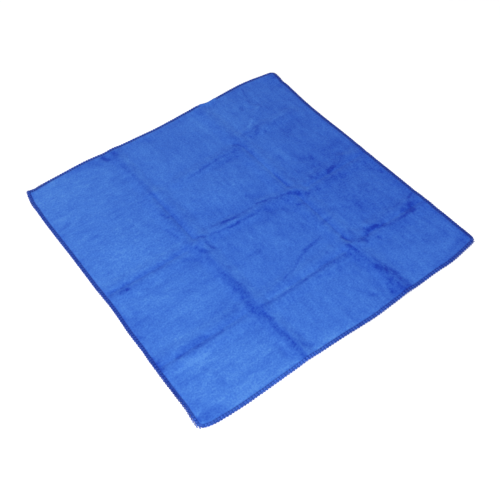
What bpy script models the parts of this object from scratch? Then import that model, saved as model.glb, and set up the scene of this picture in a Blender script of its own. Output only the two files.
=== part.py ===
"""A square microfibre cloth with an overlocked edge, lying flat in the soft creases of its folds.

It is one cut piece of plush cloth. Overlock thread binds its edge: it rounds the rim and stands a
little proud of the cloth, so it is part of the same solid. The cloth was folded in quarters one way
and in thirds the other, and the folds are left in it as low ridges and troughs.

Metres, +Z up. The origin lies on the surface under the cloth, below the middle of the cloth's box.
+X points to the right edge and +Y to the far edge.
"""

import math
from bisect import bisect_right
from collections import namedtuple

import bmesh
import bpy
from mathutils import Vector

# Driving dimensions
WIDTH = 0.383          # left edge to right edge
LENGTH = 0.400         # near edge to far edge
WIDEST_GAP = 0.0125    # between two lines of the cloth's net, where it lies plain
EDGE_REACH = 0.060     # how far in from an edge its unevenness fades out

# Section of the overlocked edge, from the rim inwards: heights above the surface under the cloth.
# The last row is the cloth itself, 2.2 mm thick with its pile.
Section = namedtuple("Section", "inset top bottom")
EDGE_SECTION = (
    Section(0.0000, 0.0015, 0.0008),
    Section(0.0006, 0.0021, 0.0002),
    Section(0.0018, 0.0024, 0.0000),
    Section(0.0038, 0.0024, 0.0000),
    Section(0.0050, 0.0019, 0.0000),
    Section(0.0066, 0.0022, 0.0000),
)
CORNER_LINE = 0.0100   # inset of one more line, where the rounded corners begin

# Fold lines: where each one starts and ends on two opposite edges.
Fold = namedtuple("Fold", "name start end")
COLUMN_FOLDS = (       # x at the far edge, x at the near edge
    Fold("left third", -0.0675, -0.0605),
    Fold("right third", 0.0685, 0.0780),
)
ROW_FOLDS = (          # y at the left edge, y at the right edge
    Fold("far quarter", 0.0920, 0.1120),
    Fold("middle", -0.0030, -0.0100),
    Fold("near quarter", -0.1160, -0.1130),
)
FOLD_STEPS = (-0.0100, -0.0042, 0.0, 0.0042, 0.0100)   # lines of the net beside a fold

# How far each edge lies outside the straight cut line, along its length.
Bulge = namedtuple("Bulge", "place outward")
FAR_EDGE = (           # place is x
    Bulge(-0.1915, -0.0013), Bulge(-0.1870, -0.0029), Bulge(-0.1805, -0.0026),
    Bulge(-0.1720, -0.0013), Bulge(-0.1450, 0.0002), Bulge(-0.1070, 0.0011),
    Bulge(-0.0880, 0.0005), Bulge(-0.0710, -0.0007), Bulge(-0.0590, -0.0001),
    Bulge(-0.0450, -0.0007), Bulge(-0.0310, -0.0009), Bulge(-0.0010, -0.0019),
    Bulge(0.0270, -0.0010), Bulge(0.0460, -0.0004), Bulge(0.0650, -0.0007),
    Bulge(0.0840, -0.0020), Bulge(0.1030, 0.0000), Bulge(0.1400, 0.0019),
    Bulge(0.1585, 0.0007), Bulge(0.1745, -0.0027), Bulge(0.1915, -0.0062),
)
NEAR_EDGE = (          # place is x
    Bulge(-0.1915, -0.0053), Bulge(-0.1835, -0.0023), Bulge(-0.1755, -0.0005),
    Bulge(-0.1435, 0.0012), Bulge(-0.0955, 0.0005), Bulge(-0.0615, 0.0001),
    Bulge(-0.0155, 0.0009), Bulge(0.0245, 0.0028), Bulge(0.0460, 0.0021),
    Bulge(0.0645, 0.0012), Bulge(0.0840, 0.0009), Bulge(0.1230, -0.0003),
    Bulge(0.1445, 0.0000), Bulge(0.1605, -0.0016), Bulge(0.1765, -0.0038),
    Bulge(0.1915, -0.0060),
)
LEFT_EDGE = (          # place is y
    Bulge(-0.2000, 0.0014), Bulge(-0.1840, 0.0010), Bulge(-0.1700, 0.0001),
    Bulge(-0.1500, 0.0005), Bulge(-0.1330, 0.0007), Bulge(-0.1150, 0.0011),
    Bulge(-0.0850, 0.0001), Bulge(-0.0560, 0.0002), Bulge(-0.0240, -0.0010),
    Bulge(0.0080, -0.0002), Bulge(0.0400, 0.0000), Bulge(0.0720, 0.0001),
    Bulge(0.1240, 0.0009), Bulge(0.1420, 0.0010), Bulge(0.1600, 0.0005),
    Bulge(0.1780, 0.0001), Bulge(0.1920, -0.0020), Bulge(0.2000, -0.0041),
)
RIGHT_EDGE = (         # place is y
    Bulge(-0.2000, 0.0003), Bulge(-0.1860, 0.0006), Bulge(-0.1700, 0.0004),
    Bulge(-0.1440, 0.0007), Bulge(-0.1100, -0.0004), Bulge(-0.0800, -0.0001),
    Bulge(-0.0300, -0.0003), Bulge(-0.0100, -0.0011), Bulge(0.0100, -0.0001),
    Bulge(0.0420, 0.0000), Bulge(0.0700, -0.0005), Bulge(0.1100, -0.0002),
    Bulge(0.1480, 0.0022), Bulge(0.1630, 0.0031), Bulge(0.1720, 0.0026),
    Bulge(0.1840, 0.0036), Bulge(0.2000, 0.0041),
)

# Corners: the side of x and y that each is on, and the radius that it was sewn round.
Corner = namedtuple("Corner", "name x_side y_side radius")
CORNERS = (
    Corner("far left", -1, 1, 0.0018),
    Corner("far right", 1, 1, 0.0064),
    Corner("near right", 1, -1, 0.0074),
    Corner("near left", -1, -1, 0.0066),
)

# Creases, as straight runs. A ridge stands highest on its line. A trough lies on the surface along
# its line and lifts the cloth a little on both sides.
Crease = namedtuple("Crease", "form start end height reach")
CREASES = (
    # left third, from the far edge to the near edge
    Crease("ridge", (-0.0675, 0.1990), (-0.0670, 0.1000), 0.0014, 0.014),
    Crease("trough", (-0.0665, 0.0900), (-0.0655, 0.0050), 0.0012, 0.022),
    Crease("ridge", (-0.0650, -0.0080), (-0.0635, -0.1080), 0.0020, 0.016),
    Crease("ridge", (-0.0625, -0.1240), (-0.0605, -0.1990), 0.0016, 0.015),
    # right third
    Crease("ridge", (0.0685, 0.1990), (0.0705, 0.1200), 0.0016, 0.016),
    Crease("trough", (0.0715, 0.0960), (0.0725, 0.0060), 0.0010, 0.020),
    Crease("trough", (0.0735, -0.0140), (0.0745, -0.1060), 0.0010, 0.020),
    Crease("ridge", (0.0750, -0.1200), (0.0780, -0.1980), 0.0020, 0.017),
    # far quarter
    Crease("ridge", (-0.0300, 0.0950), (0.0520, 0.1000), 0.0010, 0.014),
    Crease("ridge", (0.0800, 0.1120), (0.1640, 0.1100), 0.0011, 0.015),
    # middle
    Crease("trough", (-0.1880, -0.0030), (-0.0820, -0.0040), 0.0010, 0.020),
    Crease("ridge", (-0.0560, 0.0010), (0.0160, -0.0050), 0.0016, 0.014),
    Crease("ridge", (0.0280, 0.0000), (0.0740, -0.0090), 0.0015, 0.014),
    Crease("trough", (0.0900, -0.0100), (0.1850, -0.0090), 0.0011, 0.021),
    # near quarter
    Crease("trough", (-0.1870, -0.1150), (-0.0800, -0.1155), 0.0013, 0.021),
    Crease("trough", (-0.0480, -0.1160), (0.0600, -0.1150), 0.0014, 0.021),
    Crease("trough", (0.0920, -0.1120), (0.1850, -0.1130), 0.0013, 0.021),
)

# Low swells: places where the cloth stands off the surface.
Swell = namedtuple("Swell", "place centre reach height")
SWELLS = (
    Swell("far left tip", (-0.1900, 0.2000), (0.011, 0.011), 0.0020),
    Swell("far right corner", (0.1880, 0.1930), (0.034, 0.028), 0.0016),
    Swell("far edge by the right fold", (0.0600, 0.2000), (0.034, 0.036), 0.0010),
    Swell("far edge, left", (-0.1050, 0.2000), (0.044, 0.032), 0.0008),
    Swell("near edge, middle", (0.0250, -0.2000), (0.050, 0.034), 0.0008),
    Swell("middle panel", (0.0000, 0.0520), (0.050, 0.036), 0.0010),
    Swell("right panel", (0.1300, -0.0560), (0.042, 0.040), 0.0010),
    Swell("left panel", (-0.1260, 0.0500), (0.044, 0.038), 0.0009),
)


def grid_lines(size, folds):
    """Net lines across the cloth: each as its places on the first edge and on the opposite one."""
    half = size / 2
    insets = [row.inset for row in EDGE_SECTION] + [CORNER_LINE]
    lines = [(side * (half - inset),) * 2 for side in (-1, 1) for inset in insets]
    lines += [(fold.start + step, fold.end + step) for fold in folds for step in FOLD_STEPS]
    lines.sort()
    filled = [lines[0]]
    for start, end in lines[1:]:
        last_start, last_end = filled[-1]
        gap = max(start - last_start, end - last_end)
        parts = math.ceil(gap / WIDEST_GAP)
        for part in range(1, parts + 1):
            share = part / parts
            filled.append((last_start + (start - last_start) * share,
                           last_end + (end - last_end) * share))
    return filled


def crossing(column, row):
    """Point where a column line, given at the far and near edge, meets a row line, left and right."""
    x_lean = column[1] - column[0]
    y_lean = row[1] - row[0]
    x_at_row = column[0] + x_lean * (0.5 - (row[0] + y_lean / 2) / LENGTH)
    x = x_at_row / (1 + x_lean * y_lean / (LENGTH * WIDTH))
    y = row[0] + y_lean * (0.5 + x / WIDTH)
    return x, y


def table_value(table, place):
    """Value of a two-column table at a place, on a smooth curve through its rows."""
    places = [row[0] for row in table]
    place = min(max(place, places[0]), places[-1])
    first = min(bisect_right(places, place), len(table) - 1) - 1

    def slope(index):
        before = table[max(index - 1, 0)]
        after = table[min(index + 1, len(table) - 1)]
        return (after[1] - before[1]) / (after[0] - before[0])

    (start, low), (end, high) = table[first], table[first + 1]
    span = end - start
    t = (place - start) / span
    return (low * (1 + 2 * t) * (1 - t) ** 2 + high * t * t * (3 - 2 * t)
            + span * slope(first) * t * (1 - t) ** 2 - span * slope(first + 1) * t * t * (1 - t))


def fade(share):
    """Smooth fall from 1 at share 0 to 0 at share 1 and beyond."""
    share = min(max(share, 0.0), 1.0)
    return (1 - share) ** 2 * (1 + 2 * share)


def rounded(x, y):
    """Draws the point in where it lies in a corner, so that the square corner becomes an arc."""
    for corner in CORNERS:
        centre_x = corner.x_side * (WIDTH / 2 - corner.radius)
        centre_y = corner.y_side * (LENGTH / 2 - corner.radius)
        out_x = (x - centre_x) * corner.x_side
        out_y = (y - centre_y) * corner.y_side
        if out_x > 0 and out_y > 0:
            pull = max(out_x, out_y) / math.hypot(out_x, out_y)
            return centre_x + (x - centre_x) * pull, centre_y + (y - centre_y) * pull
    return x, y


def uneven(x, y):
    """Moves the point out or in with the nearest edges, which do not lie straight."""
    right = table_value(RIGHT_EDGE, y) * fade((WIDTH / 2 - x) / EDGE_REACH)
    left = table_value(LEFT_EDGE, y) * fade((WIDTH / 2 + x) / EDGE_REACH)
    far = table_value(FAR_EDGE, x) * fade((LENGTH / 2 - y) / EDGE_REACH)
    near = table_value(NEAR_EDGE, x) * fade((LENGTH / 2 + y) / EDGE_REACH)
    return x + right - left, y + far - near


def crease_height(crease, x, y):
    """Height of one crease at a point."""
    point = Vector((x, y))
    start = Vector(crease.start)
    run = Vector(crease.end) - start
    along = min(max((point - start).dot(run) / run.length_squared, 0.0), 1.0)
    share = (point - start - run * along).length / crease.reach
    if share >= 1:
        return 0.0
    if crease.form == "ridge":
        return crease.height * fade(share)
    return crease.height * 6.75 * share * (1 - share) ** 2


def swell_height(swell, x, y):
    """Height of one swell at a point."""
    share = math.hypot((x - swell.centre[0]) / swell.reach[0], (y - swell.centre[1]) / swell.reach[1])
    return swell.height * fade(share)


def lift(x, y):
    """How far the cloth stands off the surface at a point."""
    creases = sum(crease_height(crease, x, y) for crease in CREASES)
    swells = sum(swell_height(swell, x, y) for swell in SWELLS)
    return creases + swells


def face_height(face, inset):
    """Height of the cloth's top or bottom face at a distance in from the edge."""
    inner = EDGE_SECTION[0]
    for outer, inner in zip(EDGE_SECTION, EDGE_SECTION[1:]):
        if inset <= inner.inset:
            share = (inset - outer.inset) / (inner.inset - outer.inset)
            low, high = getattr(outer, face), getattr(inner, face)
            return low + (high - low) * max(share, 0.0)
    return getattr(inner, face)


def laid_point(x, y, face):
    """Place in the lying cloth of a point of the flat cut square."""
    inset = min(WIDTH / 2 - abs(x), LENGTH / 2 - abs(y))
    z = face_height(face, inset) + lift(x, y)
    return Vector((*uneven(*rounded(x, y)), z))


def add_face(bm, columns, rows, face):
    """Adds the top or bottom face of the cloth as one net of quads."""
    net = bmesh.ops.create_grid(bm, x_segments=len(columns) - 1, y_segments=len(rows) - 1, size=0.5)
    for vert in net["verts"]:
        column = round((vert.co.x + 0.5) * (len(columns) - 1))
        row = round((vert.co.y + 0.5) * (len(rows) - 1))
        vert.co = laid_point(*crossing(columns[column], rows[row]), face)


def plush_material():
    """Blue microfibre plush."""
    material = bpy.data.materials.new("blue plush microfibre")
    material.use_nodes = True
    shader = material.node_tree.nodes["Principled BSDF"]
    shader.inputs["Base Color"].default_value = (0.040, 0.160, 0.640, 1.0)
    shader.inputs["Roughness"].default_value = 0.9
    shader.inputs["Metallic"].default_value = 0.0
    shader.inputs["Sheen Weight"].default_value = 0.4
    return material


def build_cloth():
    """The cloth: a top and a bottom face on the same net, joined round the rim."""
    columns = grid_lines(WIDTH, COLUMN_FOLDS)
    rows = grid_lines(LENGTH, ROW_FOLDS)
    bm = bmesh.new()
    add_face(bm, columns, rows, "top")
    add_face(bm, columns, rows, "bottom")
    rim = [edge for edge in bm.edges if edge.is_boundary]
    bmesh.ops.bridge_loops(bm, edges=rim)
    bmesh.ops.recalc_face_normals(bm, faces=bm.faces)

    lowest = Vector(min(vert.co[axis] for vert in bm.verts) for axis in range(3))
    highest = Vector(max(vert.co[axis] for vert in bm.verts) for axis in range(3))
    middle = (lowest + highest) / 2
    bmesh.ops.translate(bm, verts=bm.verts, vec=(-middle.x, -middle.y, -lowest.z))

    mesh = bpy.data.meshes.new("cloth")
    bm.to_mesh(mesh)
    bm.free()
    mesh.shade_smooth()
    mesh.materials.append(plush_material())
    return bpy.data.objects.new("cloth", mesh)


def main():
    for old in list(bpy.data.objects):
        bpy.data.objects.remove(old)
    collection = bpy.data.collections.new("microfibre cloth")
    bpy.context.scene.collection.children.link(collection)
    collection.objects.link(build_cloth())


main()
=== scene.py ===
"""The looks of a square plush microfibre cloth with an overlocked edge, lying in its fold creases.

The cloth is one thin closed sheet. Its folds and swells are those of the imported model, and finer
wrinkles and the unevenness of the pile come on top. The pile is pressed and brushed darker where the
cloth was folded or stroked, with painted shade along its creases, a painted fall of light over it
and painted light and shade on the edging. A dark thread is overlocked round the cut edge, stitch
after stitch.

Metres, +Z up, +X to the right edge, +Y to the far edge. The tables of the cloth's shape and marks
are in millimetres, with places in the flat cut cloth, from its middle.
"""

import math
from collections import namedtuple

import bpy
import numpy as np
from mathutils import Matrix, Vector


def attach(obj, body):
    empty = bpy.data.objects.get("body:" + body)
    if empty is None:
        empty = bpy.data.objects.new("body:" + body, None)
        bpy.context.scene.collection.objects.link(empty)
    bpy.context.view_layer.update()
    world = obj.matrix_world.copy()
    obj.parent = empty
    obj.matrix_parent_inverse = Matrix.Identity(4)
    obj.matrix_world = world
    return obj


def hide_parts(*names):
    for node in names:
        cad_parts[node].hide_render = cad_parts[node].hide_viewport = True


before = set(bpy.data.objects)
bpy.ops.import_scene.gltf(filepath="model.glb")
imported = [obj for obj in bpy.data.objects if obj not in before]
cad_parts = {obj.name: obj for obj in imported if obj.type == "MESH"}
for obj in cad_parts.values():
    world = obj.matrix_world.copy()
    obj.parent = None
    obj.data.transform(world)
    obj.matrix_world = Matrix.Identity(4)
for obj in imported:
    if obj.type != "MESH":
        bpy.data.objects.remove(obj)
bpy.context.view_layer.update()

MM = 0.001
PERCENT = 0.01
TINY = 1e-9            # keeps a division from one by nought
SAME_PLACE = 1e-7      # points closer than this are at one place

# The cut cloth
WIDTH = 0.383          # left edge to right edge
LENGTH = 0.400         # near edge to far edge
EDGE_REACH = 0.060     # how far in from an edge its unevenness fades out
FINE_COLUMNS = 270     # gaps between net lines across the top face, inside the edging
FINE_ROWS = 282        # and along it
COARSE_STEP = 3        # the underside has one net line for so many of the top face


def in_metres(kind, *rows):
    """Rows of one kind, given in millimetres."""
    return [kind(*(value * MM for value in row)) for row in rows]


# Section of the cloth inside the edging thread, from the cut edge inwards: heights above the surface.
# The needle draws it together, and the pile puffs up beside the seam.
Section = namedtuple("Section", "inset top bottom")
EDGE_SECTION = in_metres(
    Section, (0.8, 1.45, 1.00), (1.5, 1.60, 0.85), (2.6, 1.65, 0.75), (3.6, 1.65, 0.60),
    (4.2, 2.10, 0.40), (5.4, 2.45, 0.10), (7.5, 2.40, 0.00), (11.0, 2.20, 0.00))

# How far each edge lies outside the straight cut line, along its length. The place is x on the far and
# near edge, and y on the left and right edge.
Bulge = namedtuple("Bulge", "place outward")
FAR_EDGE = in_metres(
    Bulge, (-191.5, -1.3), (-187.0, -2.9), (-180.5, -2.6), (-172.0, -1.3), (-145.0, 0.2), (-107.0, 1.1),
    (-88.0, 0.5), (-71.0, -0.7), (-59.0, -0.1), (-45.0, -0.7), (-31.0, -0.9), (-1.0, -1.9),
    (27.0, -1.0), (46.0, -0.4), (65.0, -0.7), (84.0, -2.0), (103.0, 0.0), (140.0, 1.9),
    (158.5, 0.7), (174.5, -2.7), (191.5, -6.2))
NEAR_EDGE = in_metres(
    Bulge, (-191.5, -5.3), (-183.5, -2.3), (-175.5, -0.5), (-143.5, 1.2), (-95.5, 0.5), (-61.5, 0.1),
    (-15.5, 0.9), (24.5, 2.8), (46.0, 2.1), (64.5, 1.2), (84.0, 0.9), (123.0, -0.3),
    (144.5, 0.0), (160.5, -1.6), (176.5, -3.8), (191.5, -6.0))
LEFT_EDGE = in_metres(
    Bulge, (-200.0, 1.4), (-184.0, 1.0), (-170.0, 0.1), (-150.0, 0.5), (-133.0, 0.7), (-115.0, 1.1),
    (-85.0, 0.1), (-56.0, 0.2), (-24.0, -1.0), (8.0, -0.2), (40.0, 0.0), (72.0, 0.1),
    (124.0, 0.9), (142.0, 1.0), (160.0, 0.5), (178.0, 0.1), (192.0, -2.0), (200.0, -4.1))
RIGHT_EDGE = in_metres(
    Bulge, (-200.0, 0.3), (-186.0, 0.6), (-170.0, 0.4), (-144.0, 0.7), (-110.0, -0.4), (-80.0, -0.1),
    (-30.0, -0.3), (-10.0, -1.1), (10.0, -0.1), (42.0, 0.0), (70.0, -0.5), (110.0, -0.2),
    (148.0, 2.2), (163.0, 3.1), (172.0, 2.6), (184.0, 3.6), (200.0, 4.1))

# Corners: the side of x and y that each is on, the radius that it was sewn round, and how much closer
# the stitches crowd there.
Corner = namedtuple("Corner", "name x_side y_side radius crowding")
CORNERS = (
    Corner("far left", -1, 1, 1.8, 1.2),
    Corner("far right", 1, 1, 6.4, 0.6),
    Corner("near right", 1, -1, 7.4, 0.3),
    Corner("near left", -1, -1, 6.6, 0.3),
)

# Creases, as straight runs. A ridge stands highest on its line. A trough lies on the surface along
# its line and lifts the cloth a little on both sides.
Crease = namedtuple("Crease", "form from_x from_y to_x to_y height reach")
CREASES = [Crease(*row) for row in (
    # left third, from the far edge to the near edge
    ("ridge", -67.5, 199.0, -67.0, 100.0, 1.4, 14),
    ("trough", -66.5, 90.0, -65.5, 5.0, 1.2, 22),
    ("ridge", -65.0, -8.0, -63.5, -108.0, 2.0, 16),
    ("ridge", -62.5, -124.0, -60.5, -199.0, 1.6, 15),
    # right third
    ("ridge", 68.5, 199.0, 70.5, 120.0, 1.6, 16),
    ("trough", 71.5, 96.0, 72.5, 6.0, 1.0, 20),
    ("trough", 73.5, -14.0, 74.5, -106.0, 1.0, 20),
    ("ridge", 75.0, -120.0, 78.0, -198.0, 2.0, 17),
    # far quarter
    ("ridge", -30.0, 95.0, 52.0, 100.0, 1.0, 14),
    ("ridge", 80.0, 112.0, 164.0, 110.0, 1.1, 15),
    # middle
    ("trough", -188.0, -3.0, -82.0, -4.0, 1.0, 20),
    ("ridge", -56.0, 1.0, 16.0, -5.0, 1.6, 14),
    ("ridge", 28.0, 0.0, 74.0, -9.0, 1.5, 14),
    ("trough", 90.0, -10.0, 185.0, -9.0, 1.1, 21),
    # near quarter
    ("trough", -187.0, -115.0, -80.0, -115.5, 1.3, 21),
    ("trough", -48.0, -116.0, 60.0, -115.0, 1.4, 21),
    ("trough", 92.0, -112.0, 185.0, -113.0, 1.3, 21),
    # finer wrinkles
    ("ridge", -28.5, -106.0, 46.0, -81.0, 0.5, 7),
    ("ridge", -40.0, 7.5, -10.0, 5.0, 0.5, 6),
    ("ridge", 93.5, 120.0, 133.0, 146.0, 0.6, 9),
    ("ridge", 137.0, 190.0, 127.0, 155.0, 0.5, 7),
    ("ridge", 108.0, -101.0, 122.0, -115.0, 0.7, 9),
    ("ridge", 154.0, 10.0, 180.0, -6.0, 0.5, 8),
)]

# Low swells: places where the cloth stands off the surface.
Swell = namedtuple("Swell", "place x y reach_x reach_y height")
SWELLS = (
    Swell("far left tip", -190, 200, 11, 11, 2.0),
    Swell("far right corner", 188, 193, 34, 28, 1.6),
    Swell("far edge by the right fold", 60, 200, 34, 36, 1.0),
    Swell("far edge, left", -105, 200, 44, 32, 0.8),
    Swell("near edge, middle", 25, -200, 50, 34, 0.8),
    Swell("middle panel", 0, 52, 50, 36, 1.0),
    Swell("right panel", 130, -56, 42, 40, 1.0),
    Swell("left panel", -126, 50, 44, 38, 0.9),
)

# Strokes where the pile is pressed or brushed, and painted shade: the dark runs along the creases, in
# the far left corner and beside the seam of the right edge are partly painted shade. Each row runs from
# one place to another with a half width, at which it has faded to a quarter. Depth is how dark it lies,
# in hundredths, and below nought how light.
Stroke = namedtuple("Stroke", "from_x from_y to_x to_y half_width depth")
LEFT_FOLD_STROKES = (      # from the far edge to the near edge
    (-68, 191, -68, 184, 4.5, 70), (-67, 196, -73, 180, 5, 30), (-75, 180, -73, 165, 6, 30),
    (-70, 178, -70, 150, 4, 40), (-69, 162, -69, 158, 3, 45), (-69, 150, -68, 122, 3.2, 35),
    (-67, 122, -67, 64, 3, 45), (-72, 122, -72, 88, 7, 14), (-74, 62, -72, 30, 7, 22),
    (-75, 59, -70, 53, 4.2, 85), (-66, 66, -65, 34, 5.5, 48), (-66, 51, -62, 41, 4, 60),
    (-88, 44, -84, 26, 5, 22), (-64, 34, -64, 0, 3.5, 32), (-84, 0, -72, 0, 3, 45),
    (-76, 8, -74, 0, 4, 30), (-71, -8, -64, -20, 3.8, 85), (-76, -5, -74, -20, 3.6, 40),
    (-68, -20, -68, -50, 3, 42), (-70, -50, -68, -58, 3.5, 35), (-68, -58, -68, -108, 7, 58),
    (-74, -63, -70, -68, 4, -22), (-66, -70, -63, -100, 4.8, 48), (-61, -78, -60, -88, 3, 48),
    (-69, -98, -63, -101, 3.5, 50), (-76, -101, -70, -104, 3.5, 25), (-70, -111, -69, -124, 5.6, 98),
    (-59, -119, -46, -120, 2.8, 78), (-58, -119, -56, -128, 3.2, 40), (-64, -119, -63, -160, 4.4, 85),
    (-67, -118, -66, -158, 8, 28), (-68, -136, -66, -146, 3, 30), (-58, -160, -56, -176, 3, -26),
    (-62, -160, -61, -199, 4, 85), (-64, -168, -63, -192, 6.5, 25), (-77, -166, -75, -172, 3, 40),
    (-51, -166, -50, -171, 3, 35), (-58, -173, -53, -178, 3.2, 20), (-65, -176, -62, -184, 3, 50),
    (-53, -183, -48, -187, 4.4, 86), (-76, -178, -66, -191, 6, 42), (-54, -187, -46, -191, 4, 30),
    (-60, -196, -54, -190, 3, -30), (-76, 172, -60, 180, 8, 14), (-60, 168, -56, 158, 5, -24),
    (-64, 116, -60, 98, 5, -24), (-88, 114, -76, 110, 5, 18), (-72, 84, -56, 84, 4, -20),
    (-92, 68, -86, 52, 4, -32), (-80, 40, -74, 36, 4, -24), (-63, -12, -62, -18, 2.5, -30),
)
RIGHT_FOLD_STROKES = (
    (72, 192, 66, 186, 6, 35), (72, 182, 72, 158, 2.4, 20), (60, 156, 66, 145, 5, 22),
    (72, 142, 72, 110, 2.6, 25), (65, 107, 68, 101, 3.4, 80), (70, 98, 73, 92, 3.5, 30),
    (71, 90, 73, 84, 3.5, -20), (72, 82, 73, 72, 3.5, 38), (72, 100, 72, 50, 2.4, 12),
    (70, 62, 76, 58, 4, 26), (84, 62, 84, 30, 6, -16), (73, 30, 73, 4, 2, 60),
    (73, 10, 74, 0, 3, 25), (75, -14, 75, -46, 5.5, 40), (76, -13, 84, -21, 4.6, 65),
    (70, -36, 79, -40, 5, 30), (71, -67, 79, -66, 3.2, 90), (74, -70, 73, -88, 2.2, 42),
    (70, -92, 73, -108, 4, -30), (73, -98, 76, -110, 2.8, 80), (76, -104, 80, -110, 3.6, 40),
    (69, -112, 71, -125, 3.4, 98), (73, -124, 73, -148, 2, 32), (70, -146, 76, -151, 3.6, -40),
    (79, -147, 81, -154, 3, 40), (75, -154, 79, -165, 4.8, 95), (70, -150, 76, -168, 6, 40),
    (80, -160, 82, -176, 5, 45), (84, -160, 86, -197, 4.4, 98), (72, -172, 69, -180, 4.5, 45),
    (58, -170, 60, -178, 6, 24), (76, -174, 80, -196, 6, 30), (74, -178, 78, -197, 8, 70),
    (64, -180, 67, -184, 4, -26), (83, -182, 88, -188, 3.6, 35), (66, -188, 74, -195, 5, 70),
    (58, -193, 66, -190, 4, 30), (58, -196, 88, -196, 3, 45),
)
FAR_FOLD_STROKES = (
    (-128, 93, -116, 92, 4.5, 24), (-126, 102, -111, 101, 2.6, 50), (-88, 95, -76, 94, 2, 25),
    (-24, 96, -20, 82, 5, 18), (-18, 92, 4, 94, 2.2, 35), (-14, 112, -2, 106, 7, 14),
    (4, 95, 14, 96, 2.8, 70), (8, 112, 8, 98, 3, 42), (14, 96, 40, 97, 2.2, 50),
    (34, 97, 43, 97, 2.6, 45), (40, 97, 66, 95, 2.2, 25), (-16, 88, 30, 90, 3, -10),
    (36, 90, 50, 86, 5.5, 38), (20, 124, 32, 116, 7, -16), (62, 110, 66, 107, 3, -26),
    (64, 104, 68, 100, 3, 25), (84, 113, 92, 113, 2.4, 50), (86, 113, 89, 104, 3, 50),
    (90, 109, 104, 113, 4, 26), (98, 104, 108, 115, 3.6, 70), (104, 116, 118, 117, 2.6, 50),
    (112, 102, 114, 94, 4, 40), (78, 119, 104, 121, 4, -22), (97, 122, 114, 131, 2.6, -45),
    (122, 142, 132, 146, 4, -20), (133, 110, 164, 110, 1.8, 28), (132, 112, 150, 114, 3, -24),
    (140, 117, 166, 117, 4, -22), (128, 97, 134, 96, 4, -28), (136, 84, 156, 94, 8, 34),
    (156, 96, 164, 90, 5, -18), (82, 90, 88, 82, 4, -18), (114, 160, 114, 156, 3.2, 65),
    (138, 188, 130, 161, 2, 50), (139, 186, 142, 166, 5, -18), (128, 184, 122, 160, 4, -22),
    (76, 186, 98, 190, 6, 26), (90, 180, 100, 176, 5, 20), (32, 180, 36, 166, 5, -20),
    (-47, 150, -46, 138, 3.5, 26),
)
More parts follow.
